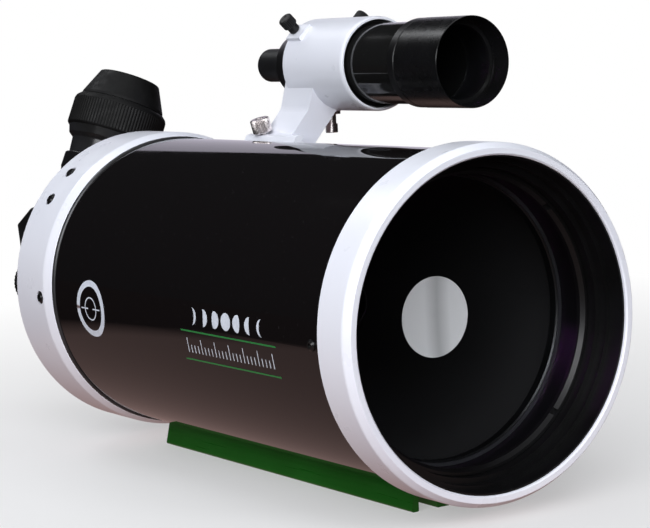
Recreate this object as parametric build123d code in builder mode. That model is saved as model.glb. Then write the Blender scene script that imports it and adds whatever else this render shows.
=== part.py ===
"""Maksutov telescope: closed tube, dovetail bar, star diagonal, eyepiece and finder.

The frame's origin is the middle of the dovetail bar's underside, +Z is up, the aperture
looks along -Y and the eyepiece end is at +Y. Places along the tube are given as a depth
behind the front lip, and places around it as an angle from the top towards +X.
"""
from build123d import *
from math import cos, radians, sin, sqrt
import os

os.makedirs("parts", exist_ok=True)

# Driving dimensions, in millimetres and degrees
TUBE_RADIUS = 91.0
TUBE_WALL = 2.0
AXIS_Z = 104.0
FRONT_RING_LENGTH = 26.4
FRONT_RING_RADIUS = 95.2
LIP_RADIUS = 88.5
REAR_CELL_FRONT = 328.7
REAR_CELL_END = 373.9
REAR_CELL_RADIUS = 94.8
BAR_FRONT = 54.1
BAR_LENGTH = 267.2
CORRECTOR_RADIUS = 79.5
SPOT_RADIUS = 22.0
MIRROR_RADIUS = 76.0
BAFFLE_RADIUS = 17.0
BARREL_RADIUS = 25.4
DIAGONAL_DEPTH = 480.0
DIAGONAL_ANGLE = 23.0
DIAGONAL_HALF_WIDTH = 33.0
KNOB_OFFSET = 66.0
FINDER_ANGLE = 30.0
FINDER_DISTANCE = 154.3
FINDER_RADIUS = 24.5
SHIELD_RADIUS = 26.6
BRACKET_RADIUS = 28.9
BRACKET_FRONT = 204.0
BRACKET_END = 270.0
SHOE_FRONT = 236.0
SHOE_END = 294.0
ADJUSTER_DEPTH = 262.5
PLUNGER_DEPTH = 260.3
RUNNING = 0.05
CLEAR = 0.3

LIP_Y = -(BAR_FRONT + BAR_LENGTH / 2)
BORE_RADIUS = TUBE_RADIUS - TUBE_WALL
RING_SCREW_ANGLES = (-91.5, 28.5, 148.5)
FRONT_SCREW_DEPTH = 37.7
REAR_SCREW_DEPTH = 340.5
PAIR_ANGLES = (-52.8, -39.5, 39.5, 52.8)
PAIR_DEPTH = 356.4
SCREW_SEAT = 93.4
BAR_SCREW_X = 10.35
BAR_SCREW_DEPTHS = (80.0, 295.0)
SHOE_SCREW_DEPTHS = (250.0, 280.0)


# ---------------------------------------------------------------- places and planes
def at(x, depth, rise):
    """A point across, behind the front lip, and above the optical axis."""
    return Vector(x, LIP_Y + depth, AXIS_Z + rise)


def radial(angle):
    """Unit vector away from the optical axis at an angle from the top."""
    return Vector(sin(radians(angle)), 0, cos(radians(angle)))


def tangent(angle):
    """Unit vector around the tube at an angle from the top."""
    return Vector(cos(radians(angle)), 0, -sin(radians(angle)))


def axis_plane(origin, direction, across=Vector(0, 1, 0)):
    """Plane whose y axis runs along a direction, for outlines turned about it."""
    return Plane(origin, x_dir=across, z_dir=across.cross(direction))


def face_plane(origin, direction, across=Vector(0, 1, 0)):
    """Plane that faces along a direction."""
    return Plane(origin, x_dir=across, z_dir=direction)


def radial_plane(angle, depth):
    """Plane for turning about a line that leaves the optical axis at an angle."""
    return axis_plane(at(0, depth, 0), radial(angle))


def cross_plane(angle, depth):
    """Plane across the tube: x runs around it, y away from the optical axis."""
    return Plane(at(0, depth, 0), x_dir=tangent(angle), z_dir=Vector(0, -1, 0))


def side_plane(angle):
    """Plane along the tube: x is the depth, y the distance from the optical axis."""
    return Plane(at(0, 0, 0), x_dir=Vector(0, 1, 0), z_dir=tangent(angle))


ACROSS = Vector(1, 0, 0)
REARWARD = Vector(0, 1, 0)
TUBE = axis_plane(at(0, 0, 0), REARWARD, ACROSS)
KNOB = axis_plane(at(-KNOB_OFFSET, 0, 0), REARWARD, ACROSS)
FINDER_AXIS = radial(FINDER_ANGLE) * FINDER_DISTANCE
FINDER = axis_plane(at(0, 0, 0) + FINDER_AXIS, REARWARD, ACROSS)
DIAGONAL_UP = radial(DIAGONAL_ANGLE)
DIAGONAL_SIDE = tangent(DIAGONAL_ANGLE)
DIAGONAL_CENTRE = at(0, DIAGONAL_DEPTH, 0)
EYEPIECE = axis_plane(DIAGONAL_CENTRE, DIAGONAL_UP)


# ---------------------------------------------------------------- shapes
def section(corners, plane):
    """Face inside a closed outline of (x, y) or (x, y, rounding) corners."""
    points = [corner[:2] for corner in corners]
    rounds = [corner[2] if len(corner) == 3 else 0 for corner in corners]
    with BuildSketch(plane) as face:
        with BuildLine():
            FilletPolyline(*points, radius=rounds, close=True)
        make_face()
    return face.sketch


def turn(corners, plane, mode=Mode.ADD):
    """Turn an outline of (radius, height) corners about the plane's y axis."""
    revolve(section(corners, plane), Axis(plane.origin, plane.y_dir), mode=mode)


def rod(radius, low, high, plane, mode=Mode.ADD):
    """Cylinder about the plane's y axis between two heights."""
    turn([(0, low), (radius, low), (radius, high), (0, high)], plane, mode)


def ring(inner, outer, low, high, plane, mode=Mode.ADD):
    """Plain ring about the plane's y axis between two heights."""
    turn([(inner, low), (outer, low), (outer, high), (inner, high)], plane, mode)


def slab(corners, plane, reach, mode=Mode.ADD):
    """Outline pushed out to both sides of its plane."""
    extrude(section(corners, plane), amount=reach, both=True, mode=mode)


def sphere_drop(radius, rim, bow):
    """Drop of a spherical face at a radius, where the drop at its rim is the bow."""
    curve = (rim**2 + bow**2) / (2 * abs(bow))
    drop = curve - sqrt(curve**2 - radius**2)
    return drop if bow > 0 else -drop


def lens(rim, plane, low, low_bow, high, high_bow):
    """Turn a lens from its two vertex heights and each face's shift at the rim."""
    with BuildSketch(plane) as half:
        with BuildLine():
            Line((0, low), (0, high))
            middle = high + sphere_drop(rim / 2, rim, high_bow)
            ThreePointArc((0, high), (rim / 2, middle), (rim, high + high_bow))
            Line((rim, high + high_bow), (rim, low + low_bow))
            middle = low + sphere_drop(rim / 2, rim, low_bow)
            ThreePointArc((rim, low + low_bow), (rim / 2, middle), (0, low))
        make_face()
    revolve(half.sketch, Axis(plane.origin, plane.y_dir))


def hexagon_socket(plane, top, depth, flats):
    """Cut a hexagon socket into a screw head whose top is at a height."""
    mouth = face_plane(plane.origin + plane.y_dir * top, plane.y_dir, plane.x_dir)
    with BuildSketch(mouth) as socket:
        RegularPolygon(flats / 2, 6, major_radius=False)
    extrude(socket.sketch, amount=-depth, mode=Mode.SUBTRACT)


def button_screw(plane, seat, tip, shank=2.0, head=4.0, rise=2.2):
    """Domed screw along the plane's y axis with its head resting at a height."""
    top = seat + rise
    turn([(0, tip), (shank, tip), (shank, seat), (head, seat), (head, seat + rise / 3),
          (head * 0.62, top), (0, top)], plane)
    hexagon_socket(plane, top, rise * 0.6, head * 0.7)


def save(builder, name):
    """Label a finished sub-part and write it under its name."""
    builder.part.label = name
    export_step(builder.part, f"parts/{name}.step")


# ---------------------------------------------------------------- optical tube
with BuildPart() as main_tube:
    ring(BORE_RADIUS, TUBE_RADIUS, 21, 346, TUBE)
    for angle in RING_SCREW_ANGLES:
        rod(2.05, 80, 100, radial_plane(angle, FRONT_SCREW_DEPTH), Mode.SUBTRACT)
        rod(2.05, 80, 100, radial_plane(angle, REAR_SCREW_DEPTH), Mode.SUBTRACT)
    for depth in SHOE_SCREW_DEPTHS:
        rod(2.05, 80, 100, radial_plane(FINDER_ANGLE, depth), Mode.SUBTRACT)
    for depth in BAR_SCREW_DEPTHS:
        for x in (-BAR_SCREW_X, BAR_SCREW_X):
            below = axis_plane(at(x, depth, 0), Vector(0, 0, -1))
            rod(2.55, 80, 100, below, Mode.SUBTRACT)
save(main_tube, "main_tube")

with BuildPart() as front_ring:
    turn([(LIP_RADIUS, 0.8), (LIP_RADIUS + 0.8, 0), (92.4, 0, 0.6), (FRONT_RING_RADIUS, 4.2, 3.0),
          (FRONT_RING_RADIUS, FRONT_RING_LENGTH, 0.6), (TUBE_RADIUS, FRONT_RING_LENGTH),
          (TUBE_RADIUS, 21), (LIP_RADIUS, 21)], TUBE)
save(front_ring, "front_ring")

with BuildPart() as corrector_cell:
    turn([(87.5, 2), (LIP_RADIUS, 2), (LIP_RADIUS, 21), (BORE_RADIUS, 21), (BORE_RADIUS, 50),
          (76.5, 50), (76.5, 45.1), (77.3, 44.3), (79.7, 44.3), (79.7, 29.2), (81.8, 29.2), (81.8, 18),
          (85, 18), (85, 12.5), (87.5, 12.5)], TUBE)
    for angle in RING_SCREW_ANGLES:
        rod(2.0, 84, 95, radial_plane(angle, FRONT_SCREW_DEPTH), Mode.SUBTRACT)
save(corrector_cell, "corrector_cell")

CORRECTOR_FRONT = 41.5
CORRECTOR_BACK = 55.2
BACK_BOW = -12.11
with BuildPart() as corrector_lens:
    lens(CORRECTOR_RADIUS, TUBE, CORRECTOR_FRONT, -12.3, CORRECTOR_BACK, BACK_BOW)
    ring(77.5, 85, 43.7, 60, TUBE, Mode.SUBTRACT)
save(corrector_lens, "corrector_lens")

with BuildPart() as corrector_retainer:
    turn([(78, 26.4), (79.7, 24), (81.4, 24), (81.8, 24.4), (81.8, 29.2), (78, 29.2)], TUBE)
    for angle in (0, 90, 180, 270):
        notch = cross_plane(angle + 45, 25)
        slab([(-2, 77), (2, 77), (2, 80.5), (-2, 80.5)], notch, 1.5, Mode.SUBTRACT)
save(corrector_retainer, "corrector_retainer")

with BuildPart() as corrector_shim:
    ring(77.5, CORRECTOR_RADIUS, 43.7, 44.3, TUBE)
save(corrector_shim, "corrector_shim")

SPOT_BOW = sphere_drop(SPOT_RADIUS, CORRECTOR_RADIUS, BACK_BOW)
with BuildPart() as secondary_spot:
    lens(SPOT_RADIUS, TUBE, CORRECTOR_BACK, SPOT_BOW, CORRECTOR_BACK + 0.3, SPOT_BOW)
save(secondary_spot, "secondary_spot")

with BuildPart() as front_ring_screws:
    for angle in RING_SCREW_ANGLES:
        place = radial_plane(angle, FRONT_SCREW_DEPTH)
        button_screw(place, TUBE_RADIUS, 86, head=3.2, rise=1.6)
save(front_ring_screws, "front_ring_screws")

with BuildPart() as rear_trim_ring:
    turn([(TUBE_RADIUS, 326.4), (91.9, 326.9, 0.4), (92.1, REAR_CELL_FRONT),
          (TUBE_RADIUS, REAR_CELL_FRONT)], TUBE)
save(rear_trim_ring, "rear_trim_ring")

with BuildPart() as rear_cell:
    turn([(TUBE_RADIUS, REAR_CELL_FRONT), (92.3, REAR_CELL_FRONT, 0.5),
          (REAR_CELL_RADIUS, 335.5, 6), (REAR_CELL_RADIUS, REAR_CELL_END, 1.6),
          (87, REAR_CELL_END, 0.5), (85.5, 371.4, 1), (40, 371.4, 0.6), (38.5, 375.4, 0.6),
          (BAFFLE_RADIUS, 375.4), (BAFFLE_RADIUS, 362), (88, 362), (88, 346),
          (TUBE_RADIUS, 346)], TUBE)
    rod(8, 355, 380, KNOB, Mode.SUBTRACT)
    for angle in (90, 210, 330):
        side = KNOB.origin + radial(angle) * 10.6
        rod(1.25, 366, 372, axis_plane(side, REARWARD, ACROSS), Mode.SUBTRACT)
    for angle in RING_SCREW_ANGLES:
        rod(4.2, SCREW_SEAT, 97, radial_plane(angle, REAR_SCREW_DEPTH), Mode.SUBTRACT)
        rod(2.0, 86, 97, radial_plane(angle, REAR_SCREW_DEPTH), Mode.SUBTRACT)
    for angle in PAIR_ANGLES:
        rod(4.2, SCREW_SEAT, 97, radial_plane(angle, PAIR_DEPTH), Mode.SUBTRACT)
        rod(2.0, 86, 97, radial_plane(angle, PAIR_DEPTH), Mode.SUBTRACT)
save(rear_cell, "rear_cell")

with BuildPart() as rear_cell_screws:
    for angle in RING_SCREW_ANGLES:
        button_screw(radial_plane(angle, REAR_SCREW_DEPTH), SCREW_SEAT, 86.5)
    for angle in PAIR_ANGLES:
        button_screw(radial_plane(angle, PAIR_DEPTH), SCREW_SEAT, 88.2)
save(rear_cell_screws, "rear_cell_screws")

with BuildPart() as baffle_tube:
    turn([(14.2, 140), (15.2, 140), (BAFFLE_RADIUS, 165), (BAFFLE_RADIUS, 357.5), (22, 357.5, 0.6),
          (22, 362), (BAFFLE_RADIUS, 362), (BAFFLE_RADIUS, 375.4), (15.2, 375.4),
          (15.2, 165)], TUBE)
save(baffle_tube, "baffle_tube")

# ---------------------------------------------------------------- moving primary mirror
CARRIER_BORE = BAFFLE_RADIUS + RUNNING
SLEEVE_RADIUS = 20.5
FOCUS_ROD_RADIUS = 3.0
with BuildPart() as mirror_carrier:
    turn([(CARRIER_BORE, 296), (SLEEVE_RADIUS, 296, 0.5), (SLEEVE_RADIUS, 334), (74, 334),
          (74, 339, 1), (24, 339), (22, 346, 0.6), (CARRIER_BORE, 346)], TUBE)
    rod(6, 336, 346, KNOB)
    rod(FOCUS_ROD_RADIUS + RUNNING, 330, 350, KNOB, Mode.SUBTRACT)
save(mirror_carrier, "mirror_carrier")

with BuildPart() as primary_mirror:
    lens(MIRROR_RADIUS, TUBE, 314, -4, 334, 0.0001)
    rod(SLEEVE_RADIUS, 300, 340, TUBE, Mode.SUBTRACT)
save(primary_mirror, "primary_mirror")

with BuildPart() as mirror_retainer:
    turn([(SLEEVE_RADIUS, 308.5), (25.5, 308.5, 0.8), (27, 311, 0.5), (27, 313.2),
          (SLEEVE_RADIUS, 313.2)], TUBE)
save(mirror_retainer, "mirror_retainer")

# ---------------------------------------------------------------- focus knob
with BuildPart() as focus_bushing:
    turn([(FOCUS_ROD_RADIUS + RUNNING, 362), (8, 362), (8, 371.4), (13.5, 371.4),
          (13.5, 374.4, 0.8), (FOCUS_ROD_RADIUS + RUNNING, 374.4)], KNOB)
    for angle in (90, 210, 330):
        side = KNOB.origin + radial(angle) * 10.6
        rod(2.2, 373, 376, axis_plane(side, REARWARD, ACROSS), Mode.SUBTRACT)
        rod(1.25, 370, 376, axis_plane(side, REARWARD, ACROSS), Mode.SUBTRACT)
save(focus_bushing, "focus_bushing")

with BuildPart() as bushing_screws:
    for angle in (90, 210, 330):
        side = KNOB.origin + radial(angle) * 10.6
        place = axis_plane(side, REARWARD, ACROSS)
        button_screw(place, 373, 366.5, shank=1.25, head=2.1, rise=1.3)
save(bushing_screws, "bushing_screws")

with BuildPart() as focus_rod:
    turn([(0, 337.5), (2.4, 337.5), (FOCUS_ROD_RADIUS, 338.1), (FOCUS_ROD_RADIUS, 400),
          (0, 400)], KNOB)
save(focus_rod, "focus_rod")

with BuildPart() as knob_core:
    turn([(FOCUS_ROD_RADIUS, 377), (11, 377, 0.8), (12.4, 379), (12.4, 406), (11.4, 407.4, 0.6),
          (0, 407.4), (0, 400), (FOCUS_ROD_RADIUS, 400)], KNOB)
save(knob_core, "knob_core")

with BuildPart() as knob_grip:
    turn([(12.4, 379.4), (15.2, 379.4, 1), (16.2, 382), (16.2, 404, 1.2), (14.8, 406, 0.8),
          (12.4, 406)], KNOB)
save(knob_grip, "knob_grip")

# ---------------------------------------------------------------- visual back
VISUAL_BACK_END = 430.0
BACK_SCREW_DEPTH = 421.0
BACK_SCREW_ANGLES = {"upper": 50, "lower": 150}
SOCKET_RADIUS = BARREL_RADIUS + RUNNING
with BuildPart() as visual_back:
    turn([(19, 375.4), (37, 375.4), (37, 380, 1), (31, 382.5, 1), (30, 408), (33, 411, 1),
          (33, VISUAL_BACK_END, 1), (SOCKET_RADIUS, VISUAL_BACK_END), (SOCKET_RADIUS, 378),
          (19, 378)], TUBE)
    for angle in BACK_SCREW_ANGLES.values():
        rod(2.05, 20, 40, radial_plane(angle, BACK_SCREW_DEPTH), Mode.SUBTRACT)
save(visual_back, "visual_back")


def thumbscrew(name, plane, tip, neck, head, radius=6.0, length=10.0):
    """Thumbscrew along the plane's y axis: tip, neck and head heights from its foot."""
    with BuildPart() as screw:
        turn([(0, tip), (1.5, tip), (2.0, tip + 0.5), (2.0, neck), (3.4, neck), (3.4, head),
              (radius, head, 0.5), (radius, head + length, 0.8), (0, head + length)], plane)
    save(screw, name)


for side, angle in BACK_SCREW_ANGLES.items():
    thumbscrew(f"visual_back_screw_{side}", radial_plane(angle, BACK_SCREW_DEPTH),
               BARREL_RADIUS + CLEAR + 0.05, 33.3, 37, radius=5.5, length=9)

# ---------------------------------------------------------------- star diagonal
NOSE_BORE = 23.2
BODY_FRONT = -33.0
BODY_TOP = 30.5
BACK_OFFSET = 20.2
COVER_THICKNESS = 4.0
DIAGONAL_SIDE_PLANE = Plane(DIAGONAL_CENTRE, x_dir=REARWARD, z_dir=DIAGONAL_SIDE)
SLANT_ALONG = (REARWARD + DIAGONAL_UP).normalized()
SLANT_OUT = (REARWARD - DIAGONAL_UP).normalized()
PLATE_OFFSET = BACK_OFFSET - COVER_THICKNESS * sqrt(2)
MIRROR_THICKNESS = 8.0

with BuildPart() as diagonal_nose:
    front = BODY_FRONT + DIAGONAL_DEPTH
    turn([(NOSE_BORE, 392), (BARREL_RADIUS - 0.4, 392), (BARREL_RADIUS, 392.6),
          (BARREL_RADIUS, VISUAL_BACK_END + 0.4), (30.5, VISUAL_BACK_END + 0.4, 0.8),
          (30.5, front - 5), (28, front), (NOSE_BORE, front)], TUBE)
save(diagonal_nose, "diagonal_nose")


def slant_plane(offset):
    """Plane along the diagonal's sloping back, at a distance behind its mirror face."""
    origin = DIAGONAL_CENTRE + SLANT_OUT * offset
    return Plane(origin, x_dir=DIAGONAL_SIDE, z_dir=SLANT_OUT)


PLATE_FACE = PLATE_OFFSET / sqrt(2)
BACK_FACE = BACK_OFFSET / sqrt(2)
COVER_SCREWS = [(x, y) for x in (-28, 28) for y in (-28, 30)]
with BuildPart() as diagonal_body:
    reach = DIAGONAL_HALF_WIDTH
    low = BODY_FRONT
    slab([(BODY_FRONT, low, 2), (low + PLATE_OFFSET, low), (38.2 - COVER_THICKNESS / sqrt(2),
          18 + COVER_THICKNESS / sqrt(2)), (25.7, BODY_TOP, 1), (BODY_FRONT, BODY_TOP, 2)],
         DIAGONAL_SIDE_PLANE, reach)
    fillet(diagonal_body.edges().filter_by(Axis(DIAGONAL_CENTRE, DIAGONAL_UP)), 4)
    rod(NOSE_BORE, -40, 0, axis_plane(DIAGONAL_CENTRE, REARWARD, ACROSS), Mode.SUBTRACT)
    rod(NOSE_BORE, 0, 40, EYEPIECE, Mode.SUBTRACT)
    with BuildSketch(slant_plane(0)) as pocket:
        Rectangle(52, 72)
    extrude(pocket.sketch, amount=PLATE_FACE + 1, mode=Mode.SUBTRACT)
    for x, y in COVER_SCREWS:
        origin = DIAGONAL_CENTRE + DIAGONAL_SIDE * x + slant_plane(0).y_dir * y
        rod(1.5, PLATE_FACE - 5, PLATE_FACE + 1, axis_plane(origin, SLANT_OUT, DIAGONAL_SIDE),
            Mode.SUBTRACT)
save(diagonal_body, "diagonal_body")

with BuildPart() as diagonal_mirror:
    with BuildSketch(slant_plane(0)) as blank:
        Ellipse(26, 36)
    extrude(blank.sketch, amount=MIRROR_THICKNESS)
save(diagonal_mirror, "diagonal_mirror")

with BuildPart() as diagonal_cover:
    edge = COVER_THICKNESS / sqrt(2)
    slab([(BODY_FRONT + PLATE_OFFSET, BODY_FRONT), (BODY_FRONT + PLATE_OFFSET + 2 * edge,
          BODY_FRONT), (38.2, 18), (38.2 - edge, 18 + edge)], DIAGONAL_SIDE_PLANE,
         DIAGONAL_HALF_WIDTH)
    fillet(diagonal_cover.edges().filter_by(Axis(DIAGONAL_CENTRE, SLANT_OUT)), 4)
    with BuildSketch(slant_plane(MIRROR_THICKNESS)) as pad:
        Rectangle(44, 60)
    extrude(pad.sketch, amount=PLATE_FACE - MIRROR_THICKNESS)
    for x, y in COVER_SCREWS:
        origin = DIAGONAL_CENTRE + DIAGONAL_SIDE * x + slant_plane(0).y_dir * y
        place = axis_plane(origin, SLANT_OUT, DIAGONAL_SIDE)
        rod(3.0, BACK_FACE - 2, BACK_FACE + 1, place, Mode.SUBTRACT)
        rod(1.5, PLATE_FACE - 1, BACK_FACE + 1, place, Mode.SUBTRACT)
save(diagonal_cover, "diagonal_cover")

with BuildPart() as cover_screws:
    for x, y in COVER_SCREWS:
        origin = DIAGONAL_CENTRE + DIAGONAL_SIDE * x + slant_plane(0).y_dir * y
        place = axis_plane(origin, SLANT_OUT, DIAGONAL_SIDE)
        button_screw(place, BACK_FACE - 2, PLATE_FACE - 4.5, shank=1.5, head=2.9, rise=1.8)
save(cover_screws, "cover_screws")

COLLAR_TOP = 74.5
COLLAR_SCREW_HEIGHT = 54.0
COLLAR_SCREWS = {"rear": 10, "side": 100}
RING_LOW = 50.0
RING_HIGH = 58.0
with BuildPart() as eyepiece_collar:
    turn([(SOCKET_RADIUS, BODY_TOP), (30.5, BODY_TOP), (30.5, 36, 0.6), (28, 39, 1),
          (28, 62), (28.7, 64, 0.5), (28.5, COLLAR_TOP, 1), (SOCKET_RADIUS, COLLAR_TOP),
          (SOCKET_RADIUS, RING_HIGH), (26.8, RING_HIGH), (26.8, RING_LOW),
          (SOCKET_RADIUS, RING_LOW)], EYEPIECE)
    for angle in COLLAR_SCREWS.values():
        outward = REARWARD * cos(radians(angle)) + DIAGONAL_SIDE * sin(radians(angle))
        place = axis_plane(DIAGONAL_CENTRE + DIAGONAL_UP * COLLAR_SCREW_HEIGHT, outward,
                           DIAGONAL_UP)
        rod(2.05, 20, 40, place, Mode.SUBTRACT)
save(eyepiece_collar, "eyepiece_collar")

with BuildPart() as compression_ring:
    ring(SOCKET_RADIUS, 26.4, RING_LOW, RING_HIGH, EYEPIECE)
    split_from = DIAGONAL_CENTRE + DIAGONAL_UP * (RING_LOW + RING_HIGH) / 2
    with BuildSketch(Plane(split_from, x_dir=DIAGONAL_SIDE, z_dir=-REARWARD)) as gap:
        Rectangle(3, 20)
    extrude(gap.sketch, amount=40, mode=Mode.SUBTRACT)
save(compression_ring, "compression_ring")

for side, angle in COLLAR_SCREWS.items():
    outward = REARWARD * cos(radians(angle)) + DIAGONAL_SIDE * sin(radians(angle))
    place = axis_plane(DIAGONAL_CENTRE + DIAGONAL_UP * COLLAR_SCREW_HEIGHT, outward, DIAGONAL_UP)
    thumbscrew(f"collar_screw_{side}", place, 26.7, 28.6, 32, radius=5.5, length=9)

# ---------------------------------------------------------------- eyepiece
with BuildPart() as eyepiece_barrel:
    turn([(23.9, 44), (BARREL_RADIUS - 0.5, 44), (BARREL_RADIUS, 44.6), (BARREL_RADIUS, 75),
          (23.9, 75)], EYEPIECE)
save(eyepiece_barrel, "eyepiece_barrel")

with BuildPart() as eyepiece_body:
    turn([(21, 75), (26.1, 75, 0.4), (26.9, 86, 1), (30.2, 88.6, 1.2), (31.8, 94.2),
          (28, 94.2), (28, 118), (15.5, 118), (15.5, 90), (21, 90)], EYEPIECE)
save(eyepiece_body, "eyepiece_body")

with BuildPart() as field_lens:
    lens(21, EYEPIECE, 77, 2.2, 86, -2.2)
save(field_lens, "field_lens")

with BuildPart() as eye_lens:
    lens(15.5, EYEPIECE, 104, 2, 114, -1.6)
save(eye_lens, "eye_lens")

with BuildPart() as eyepiece_grip:
    turn([(28, 94.2), (32.4, 94.2, 0.4), (33.5, 97.6, 1), (33.6, 111.2, 1.5), (32.8, 115.4, 1),
          (30.6, 117.5, 0.5), (28, 117.5)], EYEPIECE)
save(eyepiece_grip, "eyepiece_grip")

with BuildPart() as eyecup:
    turn([(15.8, 118), (29.8, 118), (29.4, 119.8, 0.6), (21.4, 137.5, 1.6), (18.2, 137.5, 1.2),
          (19.6, 124, 1), (15.8, 121.5, 0.5)], EYEPIECE)
save(eyecup, "eyecup")

# ---------------------------------------------------------------- dovetail bar
BAR_HALF_WIDTH = 21.4
BAR_TOP_HALF_WIDTH = 17.8
RIB_HALF_WIDTH = 4.3
GROOVE_EDGE = 16.4
GROOVE_DEPTH = 7.5
MIDDLE = BAR_FRONT + BAR_LENGTH / 2
TRIPOD_HOLE_OFFSET = 45.0
TRIPOD_HOLE_RADIUS = 2.55
TRIPOD_HOLE_DEPTH = 10.0
with BuildPart() as dovetail_bar:
    across_bar = Plane(at(0, MIDDLE, -AXIS_Z), x_dir=ACROSS, z_dir=Vector(0, -1, 0))
    slab([(-BAR_HALF_WIDTH, 0, 1.2), (-GROOVE_EDGE, 0, 0.8), (-GROOVE_EDGE, GROOVE_DEPTH, 1),
          (-RIB_HALF_WIDTH, GROOVE_DEPTH, 1), (-RIB_HALF_WIDTH, 0, 0.8),
          (RIB_HALF_WIDTH, 0, 0.8), (RIB_HALF_WIDTH, GROOVE_DEPTH, 1),
          (GROOVE_EDGE, GROOVE_DEPTH, 1), (GROOVE_EDGE, 0, 0.8), (BAR_HALF_WIDTH, 0, 1.2),
          (BAR_TOP_HALF_WIDTH, 14.9), (-BAR_TOP_HALF_WIDTH, 14.9)], across_bar, BAR_LENGTH / 2)
    rod(TUBE_RADIUS, 0, 400, TUBE, Mode.SUBTRACT)
    for y in (-TRIPOD_HOLE_OFFSET, TRIPOD_HOLE_OFFSET):
        hole = axis_plane(Vector(0, y, 0), Vector(0, 0, 1))
        rod(TRIPOD_HOLE_RADIUS, -1, TRIPOD_HOLE_DEPTH, hole, Mode.SUBTRACT)
    for depth in BAR_SCREW_DEPTHS:
        for x in (-BAR_SCREW_X, BAR_SCREW_X):
            rod(2.5, 5, 20, axis_plane(at(x, depth, -AXIS_Z), Vector(0, 0, 1)), Mode.SUBTRACT)
save(dovetail_bar, "dovetail_bar")

with BuildPart() as dovetail_screws:
    for depth in BAR_SCREW_DEPTHS:
        for x in (-BAR_SCREW_X, BAR_SCREW_X):
            down = axis_plane(at(x, depth, -AXIS_Z), Vector(0, 0, -1))
            button_screw(down, -GROOVE_DEPTH, -18, shank=2.5, head=4.4, rise=2.8)
save(dovetail_screws, "dovetail_screws")

# ---------------------------------------------------------------- finder shoe
SHOE_MIDDLE = (SHOE_FRONT + SHOE_END) / 2
SHOE_REACH = (SHOE_END - SHOE_FRONT) / 2
SHOE_PLANE = cross_plane(FINDER_ANGLE, SHOE_MIDDLE)
FOOT_LOW = TUBE_RADIUS + 5.0
FOOT_HIGH = TUBE_RADIUS + 12.4
CLAMP_DEPTH = 278.5
CLAMP_FOOT = (at(0, CLAMP_DEPTH, 0) + tangent(FINDER_ANGLE) * -11.3
              + radial(FINDER_ANGLE) * (TUBE_RADIUS + 5.0))
CLAMP_OUT = (radial(FINDER_ANGLE) - tangent(FINDER_ANGLE)).normalized()
CLAMP = axis_plane(CLAMP_FOOT, CLAMP_OUT)
with BuildPart() as finder_shoe:
    slab([(-16, 86), (16, 86), (16, 96, 0.8), (13.6, 98.5, 0.8), (10.95, 98.5, 0.3),
          (11.85, 95.7), (-11.85, 95.7), (-10.95, 98.5, 0.3), (-13.6, 98.5, 0.8),
          (-16, 96, 0.8)], SHOE_PLANE, SHOE_REACH)
    rod(TUBE_RADIUS, 0, 400, TUBE, Mode.SUBTRACT)
    for depth in SHOE_SCREW_DEPTHS:
        rod(4.1, 93.4, 97, radial_plane(FINDER_ANGLE, depth), Mode.SUBTRACT)
        rod(2.0, 85, 97, radial_plane(FINDER_ANGLE, depth), Mode.SUBTRACT)
    rod(2.05, -4, 12, CLAMP, Mode.SUBTRACT)
save(finder_shoe, "finder_shoe")

with BuildPart() as shoe_screws:
    for depth in SHOE_SCREW_DEPTHS:
        button_screw(radial_plane(FINDER_ANGLE, depth), 93.4, 86.5, rise=1.8)
save(shoe_screws, "shoe_screws")

with BuildPart() as shoe_clamp_screw:
    turn([(0, 1.4), (1.4, 1.4), (2.0, 2), (2.0, 4.7), (6.2, 4.7, 0.5), (6.2, 13.6, 0.6),
          (0, 13.6)], CLAMP)
save(shoe_clamp_screw, "shoe_clamp_screw")

# ---------------------------------------------------------------- finder bracket
BRACKET_BORE = 27.0
ADJUSTER_ANGLES = {"left": -45, "right": 45}
DOWNWARD = Vector(0, 0, -1)


def from_finder(direction, depth):
    """Plane for turning about a line that leaves the finder's axis."""
    return axis_plane(FINDER.origin + REARWARD * depth, direction)


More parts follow.
